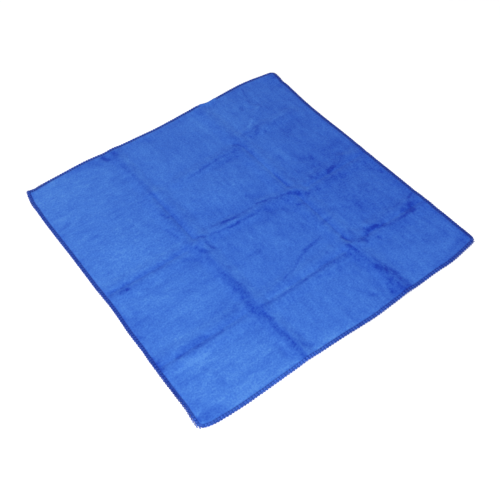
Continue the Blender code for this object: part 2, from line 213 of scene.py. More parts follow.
MIDDLE_FOLD_STROKES = (    # from the left edge to the right edge
    (-184, -2, -160, -3, 2.6, 78), (-183, -5, -164, -8, 4, 60), (-187, -4, -184, -8, 3.5, 25),
    (-172, -9, -163, -9, 3.4, 98), (-160, -3, -148, -3, 2.4, 40), (-147, -3, -120, -4, 4.8, 74),
    (-116, -3, -94, -2, 4.6, 70), (-94, -1, -84, 0, 2.6, 40), (-97, -13, -84, -17, 2.4, 45),
    (-82, -19, -77, -26, 3, 45), (-184, -20, -156, -20, 3.5, -30), (-142, -26, -124, -26, 5, 26),
    (-142, -24, -138, -36, 6, 42), (-106, -26, -100, -28, 3, 25), (-181, -24, -180, -44, 4, -34),
    (-155, -33, -147, -35, 3.2, -30), (-164, -40, -152, -37, 4, -24), (-137, -43, -130, -49, 3, -22),
    (-98, -45, -82, -48, 4, -24), (-181, -54, -165, -57, 8.5, 28), (-184, -80, -182, -96, 6, -26),
    (-84, 38, -80, 20, 3, 45), (-61, 4, -54, 0, 2.8, 85), (-56, -6, -52, -12, 3.6, 40),
    (-57, -9, -54, -19, 3, 80), (-54, -17, -51, -23, 2.4, 35), (-60, -22, -50, -24, 4, 26),
    (-44, -22, -45, -34, 4, -22), (-38, -8, -36, -18, 4, 18), (-38, -26, -35, -40, 4, 30),
    (-41, 9, -26, 7, 2, 45), (-25, 6, -10, 3, 3, 125), (-20, 4, -7, 2, 2.4, 35),
    (-46, -1, -24, -5, 2.2, 50), (-50, -4, -20, -16, 8, 18), (-36, -1, -5, -2, 2.4, -34),
    (-22, -6, -9, -6, 2.6, 130), (-18, -8, -16, -18, 4, 30), (-22, -18, -18, -26, 4, 18),
    (-10, 5, 16, 4, 2.2, 40), (-8, -6, 4, -6, 2, 45), (4, -6, 19, -7, 2.2, 75),
    (17, -12, 22, -20, 4, 22), (10, -16, 20, -23, 4, 32), (6, -19, 16, -25, 5, 26),
    (4, -28, 8, -36, 4, 16), (-10, -34, -6, -40, 4, -26), (27, 5, 37, 3, 2.6, 95),
    (30, 10, 40, 4, 4, -20), (36, 3, 44, 1, 2.2, 65), (44, 0, 56, -2, 2, 45),
    (50, -2, 54, -7, 3.2, 55), (56, -2, 67, -7, 2.4, 55), (59, -7, 60, -16, 3.5, -34),
    (67, -6, 75, -14, 3.2, 90), (74, -13, 86, -22, 3.2, 60), (22, -6, 35, -16, 6.5, 40),
    (30, 0, 60, -9, 6, 18), (46, -20, 52, -32, 3.6, 42), (64, -27, 73, -29, 3, 50),
    (88, -18, 98, -21, 4, 30), (106, -2, 109, -6, 2.6, 50), (112, -5, 128, -8, 4.4, 24),
    (117, -19, 127, -23, 4.2, 32), (127, -7, 141, -3, 3.2, 90), (126, -18, 138, -23, 5, 40),
    (139, -9, 140, -21, 3.5, -30), (162, -3, 178, 4, 5, -26), (183, 16, 183, -6, 3, -22),
    (181, -43, 181, -48, 3, 70), (102, 19, 112, 13, 6, 26), (116, 8, 116, 16, 3, -26),
    (121, 14, 126, 22, 4, 36), (118, 32, 129, 24, 6, 45), (148, 15, 160, 12, 7, 36),
    (143, 12, 147, 9, 4, -20), (156, 11, 164, 8, 3, 45), (152, 6, 158, 4, 3.5, 26),
    (152, 25, 168, 28, 9, 34), (140, 28, 146, 24, 4, -14), (166, 54, 172, 46, 6, 36),
    (48, 70, 52, 66, 4, 30), (25, 23, 34, 15, 5, 42), (27, 52, 34, 38, 8, -14),
    (101, 62, 105, 43, 5, -30), (-24, 34, -18, 24, 6, 30), (-60, 41, -46, 36, 7, 36),
    (-42, 32, -28, 24, 5, 20), (-36, 58, -33, 36, 6, -18), (-51, 64, -51, 52, 4, -22),
    (-18, 14, -14, 10, 4, 20), (112, -46, 126, -37, 7, 30), (78, -52, 94, -60, 7, 42),
    (-56, -54, -42, -60, 5, 34),
)
NEAR_FOLD_STROKES = (      # from the left edge to the right edge
    (-189, -103, -185, -118, 4.5, 70), (-160, -119, -112, -119, 2, 60), (-166, -116, -140, -117, 3.2, 95),
    (-156, -112, -132, -112, 6, 82), (-160, -121, -148, -122, 3, 26), (-160, -106, -154, -108, 3, -30),
    (-140, -117, -112, -118, 3.2, 66), (-136, -107, -128, -108, 3.4, -30), (-134, -113, -110, -114, 5, 36),
    (-112, -112, -92, -112, 5, 22), (-108, -119, -84, -119, 1.8, 28), (-104, -121, -76, -121, 2.4, 28),
    (-112, -93, -82, -91, 8, 14), (-105, -92, -95, -97, 3, 22), (-94, -105, -84, -101, 3, 30),
    (-92, -108, -84, -106, 3.6, 30), (-96, -105, -84, -110, 5, 22), (-132, -135, -119, -137, 4.5, 42),
    (-141, -131, -130, -133, 4, -20), (-162, -147, -152, -149, 4, 38), (-145, -150, -130, -158, 6, 26),
    (-166, -156, -158, -153, 4, 20), (-160, -158, -152, -158, 4, -30), (-140, -176, -130, -178, 4, 26),
    (-62, -103, -46, -110, 6, -24), (-46, -109, -38, -110, 3.4, 20), (-40, -116, -22, -116, 3, -46),
    (-45, -121, -34, -120, 1.8, 30), (-34, -120, 2, -120, 1.8, 60), (-30, -121, 4, -121, 2, 25),
    (-20, -108, -12, -113, 5, 12), (-2, -102, 0, -114, 4, -26), (2, -119, 44, -119, 2.2, 65),
    (16, -127, 24, -129, 4, 36), (24, -115, 42, -117, 3.2, 40), (32, -121, 46, -121, 3, 38),
    (44, -119, 66, -119, 1.8, 50), (58, -122, 62, -123, 3, 80), (44, -125, 72, -130, 9, 20),
    (-29, -108, -1, -100, 1.8, 50), (-1, -100, 13, -92, 1.8, 55), (-2, -96, 8, -92, 3, 36),
    (13, -92, 27, -87, 2.2, 58), (27, -86, 42, -84, 2.6, 80), (42, -84, 54, -81, 1.8, 40),
    (54, -82, 60, -84, 4, 30), (22, -95, 34, -96, 4, -20), (84, -99, 86, -101, 3.2, 40),
    (80, -105, 92, -116, 5, 50), (82, -112, 92, -118, 4, 60), (83, -114, 96, -114, 3.4, 80),
    (98, -103, 108, -102, 3.4, -26), (96, -113, 104, -109, 2.8, 70), (101, -104, 105, -107, 2.4, 70),
    (104, -108, 116, -109, 3.4, 118), (113, -109, 120, -113, 3.4, 92), (118, -112, 124, -117, 3.8, 42),
    (100, -110, 121, -110, 7, 26), (105, -124, 106, -125, 3, 60),
    (108, -84, 108, -96, 4, -20), (130, -118, 156, -118, 2.4, 42), (132, -124, 154, -132, 8, 16),
    (152, -100, 160, -99, 3.2, 30), (155, -107, 160, -109, 3.2, -35), (150, -118, 167, -118, 3.2, 64),
    (160, -112, 170, -109, 8, 78), (165, -117, 168, -110, 4.6, 130), (160, -114, 167, -116, 3.8, 78),
    (164, -120, 166, -132, 4.2, 42),
    (176, -99, 186, -96, 2.4, 80), (174, -82, 184, -84, 5, -30), (176, -120, 180, -136, 6, 28),
    (150, -134, 158, -140, 6, -20), (160, -142, 166, -143, 3, 32), (48, -138, 54, -140, 4, -28),
    (36, -167, 42, -176, 5, 28),
)
# dark strokes in the far left corner and along the right edge inside the seam are painted shade
LOOSE_STROKES = (
    (-187, 194, -160, 197, 4, 60), (-188, 192, -187, 184, 3, 50), (-184, 158, -183, 170, 4, -22),
    (-178, 183, -170, 185, 4, 22), (-170, 189, -150, 192, 4, -24), (-130, 192, -98, 190, 5, 40),
    (-124, 178, -114, 172, 5, 18), (-132, 168, -124, 160, 5, -15), (-97, 188, -92, 181, 4, 40),
    (-94, 172, -90, 160, 4, -25), (-83, 191, -79, 185, 4.2, 95), (-78, 190, -72, 184, 4, 20),
    (-48, 190, -46, 180, 4, 22), (-24, 188, -14, 180, 7, 35), (-18, 189, -4, 188, 5, 20),
    (0, 190, 50, 190, 6, 22), (-28, 161, -26, 159, 2.6, 40), (106, 192, 104, 165, 8, -26),
    (97, 196, 106, 191, 5, -24), (172, 186, 186, 186, 4, 24), (184, 192, 190, 186, 6, 60),
    (174, 174, 180, 166, 9, 24), (188, 172, 188, 150, 5, 50), (187, 150, 187, -180, 4.5, 34),
    (-184, 153, -171, 144, 5, 24), (-184, 136, -174, 128, 6, -24), (-146, 145, -124, 144, 5, 18),
    (-116, 152, -104, 146, 5, -16), (-100, 150, -97, 122, 5, -25), (-182, 115, -169, 118, 2.8, 52),
    (-165, 118, -150, 114, 5, 16), (-188, 114, -186, 98, 4, 22), (-176, 92, -158, 84, 9, -16),
    (-163, 81, -151, 81, 2.2, 50), (-122, 69, -112, 68, 2.6, 45), (-112, 80, -108, 68, 6, -20),
    (-102, 74, -86, 76, 3.6, 26), (-90, 77, -82, 64, 7, -16), (-106, 62, -104, 50, 4, -20),
    (-97, 56, -94, 44, 3.5, 25), (-188, 56, -184, 48, 4, 32), (-165, 60, -162, 50, 4, 20),
    (-158, 37, -144, 33, 4, -26), (-104, 9, -84, 9, 4, -14), (-156, -9, -148, -12, 4, 25),
    (-188, -30, -182, -40, 5, -14), (-188, -42, -186, -50, 4, 22), (-116, -50, -104, -55, 3, 25),
    (-187, -68, -182, -74, 3, 60), (-176, -90, -152, -94, 5, -20), (-39, -38, -36, -38, 3, 30),
    (-37, 88, -36, 66, 4, -22), (-28, -53, -15, -55, 4, 42), (16, -47, 20, -54, 3, 30),
    (26, -36, 32, -40, 4, 28), (177, -24, 177, -44, 5, 24), (176, -58, 178, -70, 6, 20),
    (178, 90, 188, 78, 8, 22), (138, 78, 148, 72, 6, 20), (164, 70, 174, 66, 6, 20),
    (160, 57, 166, 54, 4, -30), (108, 78, 116, 66, 6, -18), (119, -50, 119, -110, 8, 20),
    (156, -92, 158, -84, 6, 20), (-181, -144, -176, -147, 3, 30), (-186, -146, -164, -158, 8, -20),
    (-166, -147, -163, -149, 3, 30), (-152, -143, -150, -146, 3, 35), (-146, -152, -145, -168, 3.4, 45),
    (-152, -166, -144, -182, 7, 20), (-181, -174, -176, -180, 5, 22), (-186, -181, -182, -184, 3, -36),
    (-178, -187, -162, -188, 5.6, 70), (-187, -189, -181, -192, 4.2, 70), (-187, -190, -166, -194, 4, 55),
    (-171, -190, -161, -192, 5, 55), (-155, -190, -148, -180, 5, 24), (-125, -175, -76, -175, 6, 18),
    (-92, -191, -84, -192, 4, -24), (-46, -150, -38, -158, 4.5, 22), (-1, -148, 1, -162, 3, 22),
    (34, -158, 36, -162, 2.2, 40), (39, -165, 41, -170, 2.2, 45), (46, -178, 49, -182, 2.6, 60),
    (97, -172, 101, -184, 4, 22), (131, -150, 132, -152, 3, 30), (146, -160, 164, -167, 9, 34),
    (128, -195, 168, -196, 4, 36), (158, -188, 186, -186, 5, 50), (176, -191, 190, -183, 8, 55),
)
STROKES = [Stroke(*row) for row in LEFT_FOLD_STROKES + RIGHT_FOLD_STROKES + FAR_FOLD_STROKES
           + MIDDLE_FOLD_STROKES + NEAR_FOLD_STROKES + LOOSE_STROKES]
# How the pile of the whole cloth is brushed, and a painted fall of light and shade over it: lightest near
# the left edge and the near left, darker to the right. These end at their half width.
BROAD_NAP_AND_PAINTED_LIGHT = [Stroke(*row) for row in (
    (-150, 190, -140, -90, 75, -32), (-140, -140, -100, -180, 60, -42), (-178, -188, -150, -190, 50, -60),
    (-188, 110, -188, 20, 34, -20), (-188, 190, -178, 160, 36, -42), (-30, -150, 20, -170, 55, -12),
    (150, 190, 150, -100, 90, 32), (60, 10, 60, -100, 70, 25), (185, -30, 188, -190, 30, 30),
    (130, -40, 130, -110, 60, 12), (40, 86, 62, 84, 26, 25), (0, -16, 60, -14, 22, 25),
    (-22, 12, 10, 8, 22, 24), (110, -12, 185, -4, 32, 28), (95, 8, 125, 6, 24, 12),
    (-104, -20, -85, -22, 16, 14), (-70, 60, -66, -100, 16, 10), (60, 96, 84, 92, 22, 14),
    (100, 40, 180, 20, 40, 15), (66, -145, 74, -190, 26, 30), (-82, 190, -66, 190, 18, 35),
    (-44, -192, -24, -193, 20, -50), (-160, 42, -112, 36, 28, -22), (-108, 62, -96, 50, 12, -20),
    (-120, -192, -74, -192, 12, -34), (-175, -152, -100, -150, 14, -20), (-186, -132, -145, -130, 12, -26),
    (-96, -131, -78, -132, 8, -22), (-150, 165, -95, 168, 24, -18), (-160, 130, -105, 130, 18, -14),
    (-40, 175, -36, 120, 18, -30), (-20, 128, 4, 127, 12, -18), (44, 190, 50, 150, 14, -28),
    (84, 180, 92, 140, 20, -26), (36, 104, 56, 102, 15, 24), (8, 92, 24, 88, 12, 20),
    (60, 86, 60, 60, 13, 20), (130, 108, 134, 84, 16, 26), (165, 84, 186, 66, 18, 18),
    (30, 50, 36, 46, 14, -26), (-14, 56, -10, 46, 12, -24), (88, -60, 86, -105, 18, -26),
    (45, -100, 60, -108, 12, -20), (-140, -70, -88, -66, 16, -20), (0, 150, 56, 122, 44, 12),
    (-178, 18, -120, 16, 9, -14), (-6, -150, 10, -190, 60, 4), (178, -130, 184, -160, 12, -22),
    (-150, -122, -110, -126, 10, 14), (36, -140, 50, -160, 16, 12), (100, -140, 106, -185, 14, 14),
    (-186, 172, -176, 156, 14, -16), (-56, -62, -44, -70, 14, -24), (-50, -135, -40, -170, 14, -22),
    (-30, -196, 30, -196, 14, -24), (-115, 11, -82, 10, 8, -26),
)]
STROKE_SPREAD = 1.4        # a stroke ends at so many half widths from its run,
STROKE_CORE = 0.1          # is at full depth over this share of that,
STROKE_OVERLAP = 0.25      # and takes in this share of a fainter one that it crosses
PRESSED_DEPTH = 0.00035    # how far down the pile lies under the darkest stroke

# Uneven looks, each as rows of noise: length of its waves, its strength and its seed.
Noise = namedtuple("Noise", "wave strength seed")
# height of the pile on the top face
PILE_CLUMPS = (Noise(0.0125, 0.00014, 11), Noise(0.0062, 0.00012, 12), Noise(0.0034, 0.00009, 13))
PILE_START = 0.003         # the clumps set in over this distance inside the seam
# how far the strokes stray from their straight runs, in x and in y
STRAY_X = (Noise(0.009, 0.0010, 21), Noise(0.004, 0.0005, 22))
STRAY_Y = (Noise(0.009, 0.0010, 23), Noise(0.004, 0.0005, 24))
# patches in the strokes, and in the tone of the underside
STROKE_PATCHES = (Noise(0.0075, 0.30, 25), Noise(0.0030, 0.30, 26))
UNDERSIDE_PATCHES = (Noise(0.030, 0.25, 31),)

# How lightly the edging shows, as painted light and shade, lightest at the near left and darker along the
# right edge: its plain share, its highest, and strokes that darken or lighten it and end at their half
# width.
EDGING_SHARE = 0.50
LIGHTEST_EDGING = 1.4
EDGING_LIGHT_AND_SHADE = [Stroke(*row) for row in (
    (-180, -198, -70, -199, 60, -50), (-60, -199, 40, -199, 50, -22), (191, -190, 191, 190, 12, 18),
    (-150, 199, 20, 199, 30, -10), (-100, -199, -74, -199, 24, -24), (72, -199, 112, -199, 24, -14),
    (-191, -146, -191, -178, 9, 24), (191, -182, 188, -196, 8, 22), (-187, -138, -187, -178, 2.6, -90),
)]
# The plush under the thread is painted dark, as shade under the thread and in the gaps between its
# stitches: share of that where the edging is darkest, how much less for each whole step that the edging
# is lighter, and the distance over which it ends inside the seam.
UNDER_THREAD, UNDER_THREAD_LOSS, UNDER_THREAD_END = 1.12, 0.46, 0.0008
# The stretch of the far edge where the pile lies over the thread, how much of its half width is wholly
# covered, and the height of the pile there
COVERED = Stroke(77, 200, 92, 200, 10, 100)
COVERED_CORE = 0.45
COVERED_HEIGHT = 0.0034

# The overlock thread
STITCH_LENGTH = 0.00345    # from one needle hole to the next
SEAM_INSET = 0.0037        # the needle's line, in from the rim
THREAD_SIZES = {
    "Stitch Length": STITCH_LENGTH,
    "Seam Inset": SEAM_INSET,
    "Loop Width": 0.00125,         # thread of the loops, spread a little over the edge
    "Loop Thickness": 0.00080,
    "Needle Thread": 0.00060,      # thickness of the straight stitches along the needle's line
    "Link Thread": 0.00120,        # thickness of the thread that links the loops along the rim
}
THREAD_SEED = 7
CROWDED_REACH = 0.010      # how far from a corner the stitches crowd

# The camera, from the corners and edges of the cloth in the photograph
PHOTO_SIZE = 500           # pixels, both ways
FOCAL_PIXELS = 731.4
SENSOR_WIDTH = 36.0        # millimetres
AIM = Vector((-0.02336, -0.04528, 0.0))    # where the middle of the picture meets the surface
AIM_DISTANCE = 0.84393
HEADING = math.radians(34.007)             # from +Y towards +X
ELEVATION = math.radians(51.362)
ROLL = math.radians(-3.005)          # turn about the line of sight, to the right


# Shape of the cloth

def fade(share):
    """Smooth fall from 1 at share 0 to 0 at share 1 and beyond."""
    share = np.clip(share, 0.0, 1.0)
    return (1 - share) ** 2 * (1 + 2 * share)


def table_values(table, places):
    """Values of a two-column table at places, on a smooth curve through its rows."""
    knots, values = np.array(table).T
    slopes = np.gradient(values, knots)
    slopes[1:-1] = (values[2:] - values[:-2]) / (knots[2:] - knots[:-2])
    places = np.clip(places, knots[0], knots[-1])
    first = np.clip(np.searchsorted(knots, places, side="right") - 1, 0, len(knots) - 2)
    span = knots[first + 1] - knots[first]
    t = (places - knots[first]) / span
    return (values[first] * (1 + 2 * t) * (1 - t) ** 2 + values[first + 1] * t * t * (3 - 2 * t)
            + span * slopes[first] * t * (1 - t) ** 2 - span * slopes[first + 1] * t * t * (1 - t))


def rounded(x, y):
    """Draws points in where they lie in a corner, so that the square corner becomes an arc."""
    for corner in CORNERS:
        centre_x = corner.x_side * (WIDTH / 2 - corner.radius * MM)
        centre_y = corner.y_side * (LENGTH / 2 - corner.radius * MM)
        out_x = (x - centre_x) * corner.x_side
        out_y = (y - centre_y) * corner.y_side
        inside = (out_x > 0) & (out_y > 0)
        pull = np.maximum(out_x, out_y) / np.maximum(np.hypot(out_x, out_y), TINY)
        x = np.where(inside, centre_x + (x - centre_x) * pull, x)
        y = np.where(inside, centre_y + (y - centre_y) * pull, y)
    return x, y


def uneven(x, y):
    """Moves points out or in with the nearest edges, which do not lie straight."""
    right = table_values(RIGHT_EDGE, y) * fade((WIDTH / 2 - x) / EDGE_REACH)
    left = table_values(LEFT_EDGE, y) * fade((WIDTH / 2 + x) / EDGE_REACH)
    far = table_values(FAR_EDGE, x) * fade((LENGTH / 2 - y) / EDGE_REACH)
    near = table_values(NEAR_EDGE, x) * fade((LENGTH / 2 + y) / EDGE_REACH)
    return x + right - left, y + far - near


def share_from(x, y, row, reach):
    """Distance of points from a row's straight run, as a share of a reach in millimetres."""
    start = np.array((row.from_x, row.from_y)) * MM
    run = np.array((row.to_x, row.to_y)) * MM - start
    from_x, from_y = x - start[0], y - start[1]
    along = np.clip((from_x * run[0] + from_y * run[1]) / max(run @ run, TINY), 0.0, 1.0)
    return np.hypot(from_x - along * run[0], from_y - along * run[1]) / (reach * MM)


def stroke_at(x, y, stroke, spread=1.0, core=0.0):
    """Depth of one stroke at points. It ends at a spread times its half width, and has an even core."""
    share = share_from(x, y, stroke, stroke.half_width * spread)
    return stroke.depth * PERCENT * fade((share - core) / (1 - core))


TROUGH_PEAK = 4 / 27       # highest value of the curve that lifts the cloth beside a trough


def lift(x, y):
    """How far the cloth stands off the surface at points."""
    height = np.zeros_like(x)
    for crease in CREASES:
        share = np.minimum(share_from(x, y, crease, crease.reach), 1.0)
        shape = fade(share) if crease.form == "ridge" else share * (1 - share) ** 2 / TROUGH_PEAK
        height += crease.height * MM * shape
    for swell in SWELLS:
        share = np.hypot((x / MM - swell.x) / swell.reach_x, (y / MM - swell.y) / swell.reach_y)
        height += swell.height * MM * fade(share)
    return height


def rim_points(count):
    """Flat places round the cut edge, count to a side, anticlockwise from the near left corner."""
    half_x, half_y = WIDTH / 2, LENGTH / 2
    corners = ((-half_x, -half_y), (half_x, -half_y), (half_x, half_y), (-half_x, half_y))
    steps = np.linspace(0, 1, count, endpoint=False)[:, None]
    sides = [np.array(a) * (1 - steps) + np.array(b) * steps
             for a, b in zip(corners, corners[1:] + corners[:1])]
    return np.concatenate(sides)


def laid_rim_middle():
    """Middle of the lying cloth's box, which the frame has at its origin."""
    x, y = uneven(*rounded(*rim_points(400).T))
    return (x.min() + x.max()) / 2, (y.min() + y.max()) / 2


RIM_MIDDLE = laid_rim_middle()


def laid(x, y):
    """Places in the lying cloth of points of the flat cut square, seen from above."""
    x, y = uneven(*rounded(x, y))
    return x - RIM_MIDDLE[0], y - RIM_MIDDLE[1]


NOISE_TURN = 0.86, 0.51    # the noise's net lies askew to the cloth: cosine and sine of its angle
NOISE_GAIN = 1.5           # brings the noise to about -1 to 1


def soft_noise(x, y, wave, seed):
    """Smooth noise over the cloth, about -1 to 1, with waves of one length."""
    across = (NOISE_TURN[0] * x - NOISE_TURN[1] * y) / wave
    up = (NOISE_TURN[1] * x + NOISE_TURN[0] * y) / wave
    across -= np.floor(across.min())
    up -= np.floor(up.min())
    column, row = across.astype(int), up.astype(int)
    angles = np.random.default_rng(seed).uniform(0, math.tau, (column.max() + 2, row.max() + 2))
    s, t = across - column, up - row

    def pull(right, far):
        angle = angles[column + right, row + far]
        return np.cos(angle) * (s - right) + np.sin(angle) * (t - far)

    to_left, to_near = fade(s), fade(t)
    near = pull(0, 0) * to_left + pull(1, 0) * (1 - to_left)
    far = pull(0, 1) * to_left + pull(1, 1) * (1 - to_left)
    return NOISE_GAIN * (near * to_near + far * (1 - to_near))


def noise_of(rows, x, y):
    """Sum of rows of noise at points."""
    return sum(row.strength * soft_noise(x, y, row.wave, row.seed) for row in rows)


def add_object(name, data):
    """A new object in the scene."""
    item = bpy.data.objects.new(name, data)
    bpy.context.scene.collection.objects.link(item)
    return item


# The cloth

def net_lines(size, gaps, step):
    """Net lines over one direction of the cloth, in from both edges, with every step-th kept inside."""
    half = size / 2
    insets = np.array([row.inset for row in EDGE_SECTION])
    inner = np.linspace(-half + insets[-1], half - insets[-1], gaps + 1)[::step]
    return np.concatenate([-half + insets[:-1], inner, (half - insets[:-1])[::-1]])


def pile_and_painted_shade(x, y):
    """How dark the pile lies at points of the flat cloth, pressed and brushed, with painted light and
    shade: 0 is plain, and below 0 is lighter.
    """
    strayed = x + noise_of(STRAY_X, x, y), y + noise_of(STRAY_Y, x, y)
    dark = np.zeros_like(x)
    for stroke in STROKES:
        mark = stroke_at(*strayed, stroke, STROKE_SPREAD, STROKE_CORE)
        both = np.maximum(dark, mark) + STROKE_OVERLAP * np.minimum(dark, mark)
        dark = np.where(mark > 0, both, dark + mark)
    dark *= 1 + noise_of(STROKE_PATCHES, x, y)
    # broad painted light and shade, together with the brushing of the whole cloth
    for stroke in BROAD_NAP_AND_PAINTED_LIGHT:
        dark += stroke_at(x, y, stroke)
    return dark


def painted_edging_light(x, y):
    """How lightly the edging shows at points of the flat cloth, as painted light and shade: 0 is darkest.
    """
    light = np.full_like(x, EDGING_SHARE)
    for stroke in EDGING_LIGHT_AND_SHADE:
        light -= stroke_at(x, y, stroke)
    return np.clip(light, 0, LIGHTEST_EDGING)


def covered(x, y):
    """Share of the pile that lies over the thread at points of the flat cloth."""
    return stroke_at(x, y, COVERED, core=COVERED_CORE)


def face_points(columns, rows, face):
    """Flat places, heights and darkness of the pile of one face of the cloth, net line by net line."""
    x, y = (grid.ravel() for grid in np.meshgrid(columns, rows))
    inset = np.minimum(WIDTH / 2 - abs(x), LENGTH / 2 - abs(y))
    insets = [row.inset for row in EDGE_SECTION]
    heights = [getattr(row, face) for row in EDGE_SECTION]
    z = np.interp(inset, insets, heights)
    if face == "top":
        dark = pile_and_painted_shade(x, y)
        inside = 1 - fade((inset - SEAM_INSET) / PILE_START)
        pile = inside * (noise_of(PILE_CLUMPS, x, y) - PRESSED_DEPTH * np.clip(dark, 0, 1))
        z = np.maximum(z, COVERED_HEIGHT * covered(x, y)) + pile
    else:
        dark = noise_of(UNDERSIDE_PATCHES, x, y)
    # painted shade under the thread, less where the pile lies over it
    painted_shade_under_thread = fade((inset - SEAM_INSET) / UNDER_THREAD_END) * (1 - covered(x, y))
    painted_shade_under_thread *= UNDER_THREAD - UNDER_THREAD_LOSS * painted_edging_light(x, y)
    return x, y, z + lift(x, y), dark, painted_shade_under_thread


def face_quads(column_count, row_count, first, upwards):
    """Quads of a net whose points are numbered line by line from first."""
    column, row = np.meshgrid(np.arange(column_count - 1), np.arange(row_count - 1))
    corner = (first + row * column_count + column).ravel()
    quads = np.stack([corner, corner + 1, corner + 1 + column_count, corner + column_count], 1)
    return quads if upwards else quads[:, ::-1]


def net_rim(column_count, row_count, first):
    """Point numbers round the rim of a net, anticlockwise from the near left corner."""
    near = first + np.arange(column_count)
    right = first + column_count - 1 + np.arange(row_count) * column_count
    far = first + (row_count - 1) * column_count + np.arange(column_count)
    left = first + np.arange(row_count) * column_count
    return np.concatenate([near[:-1], right[:-1], far[:0:-1], left[:0:-1]])


def rim_triangles(top_rim, bottom_rim, places):
    """Triangles that join the fine rim of the top face to the coarse rim of the underside."""
    triangles = []
    at = 0
    count = len(top_rim)
    for index, low in enumerate(bottom_rim):
        next_low = bottom_rim[(index + 1) % len(bottom_rim)]
        while at < count:
            high, next_high = top_rim[at], top_rim[(at + 1) % count]
            triangles.append((low, next_high, high))
            at += 1
            if np.allclose(places[next_high], places[next_low], atol=SAME_PLACE):
                break
        triangles.append((low, next_low, top_rim[at % count]))
    return triangles


# The bake map: the top face fills most of it, the underside a square beside it, and the rim a strip.
BAKE_GAP = 0.006
TOP_SHARE = 0.735
UNDER_SHARE = 0.245
RIM_STRIP = 0.96, 0.99     # the rim's strip, from the underside's rim to the top face's
RIM_STRIP_SPARE = 0.01     # metres of rim that it has room for beyond the whole way round


def bake_place(x, y, left, low, width):
    """Place in the bake map of flat places of the cloth, in a field of a given width."""
    scale = width / LENGTH
    return np.stack([left + (x + WIDTH / 2) * scale, low + (y + LENGTH / 2) * scale], -1)


def cloth_piece():
    """The cloth as one closed sheet: a fine top face, a coarser underside and the rim between."""
    fine_columns, fine_rows = net_lines(WIDTH, FINE_COLUMNS, 1), net_lines(LENGTH, FINE_ROWS, 1)
    columns = net_lines(WIDTH, FINE_COLUMNS, COARSE_STEP)
    rows = net_lines(LENGTH, FINE_ROWS, COARSE_STEP)
    top = face_points(fine_columns, fine_rows, "top")
    bottom = face_points(columns, rows, "bottom")
    x, y, z, dark, painted_shade_under_thread = (np.concatenate(pair) for pair in zip(top, bottom))
    first_low = len(top[0])

    top_quads = face_quads(len(fine_columns), len(fine_rows), 0, upwards=True)
    bottom_quads = face_quads(len(columns), len(rows), first_low, upwards=False)
    top_rim = net_rim(len(fine_columns), len(fine_rows), 0)
    bottom_rim = net_rim(len(columns), len(rows), first_low)
    sides = rim_triangles(top_rim, bottom_rim, np.stack([x, y], -1))

    laid_x, laid_y = laid(x, y)
    mesh = bpy.data.meshes.new("plush_cloth")
    points = np.stack([laid_x, laid_y, np.maximum(z, 0.0)], -1)
    mesh.from_pydata(points.tolist(), [], top_quads.tolist() + bottom_quads.tolist() + sides)
    for name, values in (("dark", dark), ("painted_shade_under_thread", painted_shade_under_thread)):
        mesh.attributes.new(name, "FLOAT", "POINT").data.foreach_set("value", values.astype(np.float32))

    corners = np.zeros(len(mesh.loops), int)
    mesh.loops.foreach_get("vertex_index", corners)
    top_count, face_count = 4 * len(top_quads), 4 * (len(top_quads) + len(bottom_quads))
    bake = np.zeros((len(corners), 2))
    part = corners[:top_count]
    bake[:top_count] = bake_place(x[part], y[part], BAKE_GAP, BAKE_GAP, TOP_SHARE)
    part = corners[top_count:face_count]
    under_left = 2 * BAKE_GAP + TOP_SHARE
    bake[top_count:face_count] = bake_place(x[part], y[part], under_left, BAKE_GAP, UNDER_SHARE)
    bake[face_count:] = rim_bake_places(corners[face_count:], x, y, first_low)
    mesh.uv_layers.new(name="OFBake").data.foreach_set("uv", bake.ravel().astype(np.float32))

    mesh.shade_smooth()
    mesh.validate()
    mesh.materials.append(plush_material())
    return add_object("plush_cloth", mesh)


def rim_bake_places(corners, x, y, first_low):
    """Places in the bake map of the rim's triangles: a low strip above the top face's field."""
    half_x, half_y = WIDTH / 2, LENGTH / 2
    px, py = x[corners], y[corners]
    inset = EDGE_SECTION[0].inset + SAME_PLACE
    round_edge = np.select(
        [py < -half_y + inset, px > half_x - inset, py > half_y - inset],
        [px + half_x, WIDTH + py + half_y, WIDTH + LENGTH + half_x - px],
        2 * WIDTH + LENGTH + half_y - py)
    whole_way = 2 * (WIDTH + LENGTH)
    triangle = round_edge.reshape(-1, 3)
    over = triangle.max(1) - triangle.min(1) > WIDTH
    triangle[over] = np.where(triangle[over] < WIDTH, triangle[over] + whole_way, triangle[over])
    along = triangle.ravel() / (whole_way + RIM_STRIP_SPARE)
    height = np.where(corners >= first_low, *RIM_STRIP)
    return np.stack([BAKE_GAP + along * (1 - 2 * BAKE_GAP), height], -1)


# Nodes

